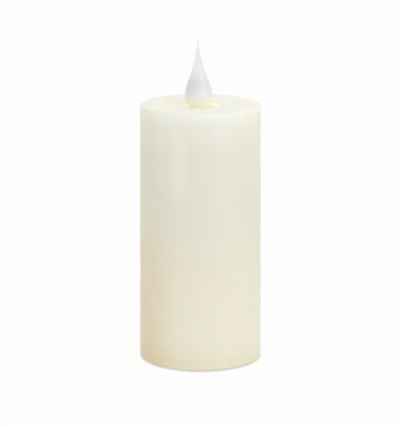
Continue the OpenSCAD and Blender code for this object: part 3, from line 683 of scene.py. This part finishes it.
def wax_outline():
    """The pillar's section, as (radius, height) points: the side, the rim, the dipped top, the
    lip of the hole, the bore and the cavity."""
    rim_round, foot_round, lip_round = 1.2 * MM, 0.8 * MM, 0.7 * MM
    dip_r, dip = 31 * MM, WAX_TOP - HOLE_TOP
    foot = arc((WAX_FOOT_R - foot_round, WAX_FOOT + foot_round), foot_round, -90, 0, 4)
    rim = arc((WAX_TOP_R - rim_round, WAX_TOP - rim_round), rim_round, 0, 90, 9)
    slope = line((dip_r, WAX_TOP), (HOLE_R + lip_round, HOLE_TOP), 16)
    slope = [(r, HOLE_TOP + dip * wave((z - HOLE_TOP) / dip)) for r, z in slope]
    lip = arc((HOLE_R + lip_round, HOLE_TOP - lip_round), lip_round, 90, 180, 4)
    roof = [(HOLE_R, CAVITY_TOP), (CAVITY_R, CAVITY_TOP), (CAVITY_R, WAX_FOOT)]
    side = line(foot[-1], rim[0], 64)
    top = line(rim[-1], slope[0], 4)
    bore = line(lip[-1], roof[0], 4)
    return foot + side + rim + top + slope + lip + bore + roof


def pour(point):
    """Moves a point of the pillar to where the poured wax has set: the side swells and the top
    ripples by small amounts, and the foot, the hole and the cavity stay true."""
    broad_swell, fine_swell, ripple = 0.16 * MM, 0.05 * MM, 0.14 * MM
    radius = math.hypot(point.x, point.y)
    outer = clamp((radius - CAVITY_R) / (2 * MM))
    on_top = clamp((point.z - HOLE_TOP + 1.5 * MM) / (1.5 * MM))
    fade = outer * min(1.0, (point.z - WAX_FOOT) / (4 * MM)) * (1 - 0.5 * on_top)
    swell = broad_swell * noise.noise(point * 28)
    swell += fine_swell * noise.noise(point * 90 + Vector((5, 5, 5)))
    point += Vector((point.x, point.y, 0)).normalized() * swell * fade
    off_hole = clamp((radius - HOLE_R - 1 * MM) / (4 * MM))
    point.z += on_top * off_hole * ripple * noise.noise(point * 60 + Vector((9, 0, 3)))
    return point


def wax_pillar():
    """The wax pillar: a poured shell with soft rims and walls that are never quite true."""
    pillar = lathe("wax_pillar", wax_outline(), 192, closed=True)
    move_points(pillar, pour)
    keep_edges(pillar, 50)
    stand_in(pillar, "wax_shell", "candle", MATERIALS["wax"])


def flame_outline():
    """The flame's section, as (radius, height) points in millimetres from the top of the wax:
    up the inside, over the foot and up the outside to the point."""
    foot_r, belly_r, neck_r, wall = 4.0, FLAME_R / MM, 0.6, 0.8
    foot_z, belly_z, neck_z = (FLAME_LOW - WAX_TOP) / MM, 4.7, FLAME_RISE - 1.4
    lower = [(foot_r, foot_z), (5.2, -1.7), (belly_r, 0.9), (belly_r, belly_z)]
    upper = [(belly_r, belly_z), (belly_r, 12.7), (1.85, 20.5), (neck_r, neck_z)]
    side = bezier(lower, 20) + bezier(upper, 36)[1:]
    point = [
        (0.87 * neck_r, FLAME_RISE - 0.9),
        (0.68 * neck_r, FLAME_RISE - 0.4),
        (0.40 * neck_r, FLAME_RISE - 0.1),
        (0, FLAME_RISE),
    ]
    inside = [(r - wall, z) for r, z in side if r - wall > 0.4]
    return [(0, inside[-1][1] + wall)] + inside[::-1] + side + point


def lean(point):
    """Moves a point of the flame to the left, over a step at the foot and then a little more
    with each millimetre of height, and bows it back a little above its middle."""
    step, step_from, step_over = 1.0, -3.6, 5.0
    lean_slope, bow = 0.0187, 0.22
    height = (point.z - WAX_TOP) / MM
    above = max(0.0, height)
    share = clamp((height - step_from) / step_over)
    shift = step * share * share * (3 - 2 * share) + lean_slope * above
    sway = bow * math.sin(math.pi * above / FLAME_RISE) * above / FLAME_RISE
    point.x += (sway - shift) * MM
    return point


def flame():
    """The hollow flame, which leans a little as moulded flames do."""
    outline = [(r * MM, WAX_TOP + z * MM) for r, z in flame_outline()]
    shell = lathe("flame", outline, 96, closed=False)
    move_points(shell, lean)
    keep_edges(shell, 50)
    stand_in(shell, "flame_shell", "flame", MATERIALS["flame"])


def cell_outline(radius, length, shoulder):
    """A cell's section, as (radius, height) points from the middle of its flat end to the
    middle of its button: a jacket rolled over both ends, a grooved seal and the button."""
    rim, film = 0.7 * MM, 0.15 * MM
    button_r, button_round = 2.6 * MM, 0.3 * MM
    flat = [(0, film), (radius - 2.2 * MM, film), (radius - 1.6 * MM, 0.0)]
    roll_low = arc((radius - rim, rim), rim, -90, 0, 5)
    roll_high = arc((radius - rim, shoulder - rim), rim, 0, 90, 5)
    jacket = roll_low + line(roll_low[-1], roll_high[0], 12) + roll_high
    seal = [
        (radius - 1.5 * MM, shoulder),
        (radius - 1.7 * MM, shoulder - 2 * film),
        (button_r + 1.1 * MM, shoulder - 2 * film),
        (button_r + 0.6 * MM, shoulder - film),
        (button_r, shoulder - film),
    ]
    button = arc((button_r - button_round, length - button_round), button_round, 0, 90, 4)
    return flat + jacket + seal + button + [(0, length)]


def cell(node, side):
    """An AA cell whose button points right (side 1) or left (side -1)."""
    low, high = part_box(node)
    radius = (high.z - low.z) / 2
    length = high.x - low.x
    shoulder = length - 1.2 * MM
    piece = lathe(node + "_cell", cell_outline(radius, length, shoulder), 72, closed=False)
    middle = (low + high) / 2
    start = low.x if side > 0 else high.x
    turn = Matrix.Rotation(math.radians(90 * side), 4, "Y")
    piece.data.transform(Matrix.Translation((start, middle.y, middle.z)) @ turn)
    keep_edges(piece, 30)
    stand_in(piece, node, "candle", MATERIALS["cell"])
    piece.data.materials.append(NICKEL_ENDS)
    bare = 0.9 * MM
    for face in piece.data.polygons:
        along = abs(face.center.x - start)
        if along < bare or along > shoulder - bare:
            face.material_index = 1


# ---------------------------------------------------------------- CAD nodes that keep their shape


def finish_cad_nodes():
    """Gives every CAD node the material of its slot."""
    slots = {row["node"]: row["material_slot"] for row in frame["record"]["subparts"]}
    for name, node in frame["nodes"].items():
        node.data.materials.clear()
        node.data.materials.append(OWN_MATERIALS.get(name, MATERIALS[slots[name]]))


# ---------------------------------------------------------------- studio

AMBIENT = 0.90
BACKDROP = 0.981
SHADE_SIDE = (0.77, 0.74, 0.665, 1)
LIGHT_SIDE = (0.98, 1.0, 0.99, 1)
FLOOR_OPEN = (1.02, 1.02, 1.02, 1)
FLOOR_SHADOW = (0.45, 0.42, 0.36, 1)


def floor_material():
    """A white floor. The camera sees it just short of pure white, with a thin shadow where
    something stands on it. Other rays see the ambient light, and from below it is clear."""
    material = bpy.data.materials.new("pale_floor")
    material.use_nodes = True
    g = Graph(material.node_tree)
    g.tree.nodes.clear()
    rays = g.add("ShaderNodeLightPath")
    side = g.add("ShaderNodeNewGeometry")
    matt = g.add("ShaderNodeBsdfDiffuse").outputs[0]
    openness = g.add("ShaderNodeAmbientOcclusion", samples=16)
    openness.inputs["Distance"].default_value = 1.2 * MM
    shine = g.mix(openness.outputs["AO"], FLOOR_SHADOW, FLOOR_OPEN)
    shine_share = 0.88
    seen = g.blend(shine_share, matt, g.glow("ShaderNodeEmission", 1.0, shine))
    bounced = g.glow("ShaderNodeEmission", AMBIENT)
    top = g.blend(rays.outputs["Is Camera Ray"], bounced, seen)
    clear = g.add("ShaderNodeBsdfTransparent").outputs[0]
    shown = g.blend(side.outputs["Backfacing"], top, clear)
    g.link(shown, g.add("ShaderNodeOutputMaterial").inputs["Surface"])
    return material


def floor():
    """The floor, which sinks out of the way of the battery door over its first degrees."""
    radius, sunk_at, depth = 4.0, math.radians(12), 70 * MM
    mesh = bmesh.new()
    bmesh.ops.create_circle(mesh, cap_ends=True, segments=96, radius=radius)
    disc = from_bmesh("floor", mesh)
    disc.data.materials.append(floor_material())
    sink = disc.constraints.new("TRANSFORM")
    sink.target = frame["bodies"]["battery_door"]
    sink.map_from = "ROTATION"
    sink.from_max_x_rot = sunk_at
    sink.map_to = "LOCATION"
    sink.map_to_z_from = "X"
    sink.to_max_z = -depth


def tent():
    """White all round for the camera. As light, it is dimmer and warmer on the candle's left."""
    world = bpy.data.worlds.new("studio")
    bpy.context.scene.world = world
    world.use_nodes = True
    g = Graph(world.node_tree)
    g.tree.nodes.clear()
    rays = g.add("ShaderNodeLightPath")
    across = g.part(g.add("ShaderNodeTexCoord").outputs["Generated"], "X")
    colour = g.mix(g.spread(across, -1.0, 0.0, smooth=True), SHADE_SIDE, LIGHT_SIDE)
    light = g.glow("ShaderNodeBackground", AMBIENT, colour)
    backdrop = g.glow("ShaderNodeBackground", BACKDROP)
    shown = g.blend(rays.outputs["Is Camera Ray"], light, backdrop)
    g.link(shown, g.add("ShaderNodeOutputWorld").inputs["Surface"])


def softbox(name, place, target, size, power, sheen_only=False):
    """A rectangular lamp that faces a point. A lamp for sheen only shows in shiny surfaces and
    lights nothing else."""
    data = bpy.data.lights.new(name, "AREA")
    data.shape = "RECTANGLE"
    data.size, data.size_y = size
    data.energy = power
    lamp = bpy.data.objects.new(name, data)
    lamp.location = place
    aim = Vector(target) - Vector(place)
    lamp.rotation_euler = aim.to_track_quat("-Z", "Y").to_euler()
    lamp.visible_camera = False
    lamp.visible_diffuse = not sheen_only
    bpy.context.scene.collection.objects.link(lamp)


def camera():
    """The camera of a product picture: a long lens, a little above the candle."""
    data = bpy.data.cameras.new("camera")
    data.lens = 179.06
    data.sensor_width = 36
    eye = bpy.data.objects.new("camera", data)
    eye.location = (-0.00028, -1.2914, 0.3892)
    eye.rotation_euler = (math.radians(77.025), 0, 0)
    bpy.context.scene.collection.objects.link(eye)
    bpy.context.scene.camera = eye
    bpy.context.scene.view_settings.view_transform = "Standard"


finish_cad_nodes()
wax_pillar()
flame()
cell("rear_battery", 1)
cell("front_battery", -1)
floor()
tent()
softbox("key", (0.73, -0.92, 0.75), (0, 0, 0.11), size=(0.2, 0.9), power=1.2)
softbox("flame_glint", (0.73, -0.92, 0.65), (0, 0, 0.17), size=(0.1, 0.7), power=2.0, sheen_only=True)
softbox("top", (0.1, 0.1, 1.1), (0, 0, 0.16), size=(0.8, 0.8), power=1.1)
camera()
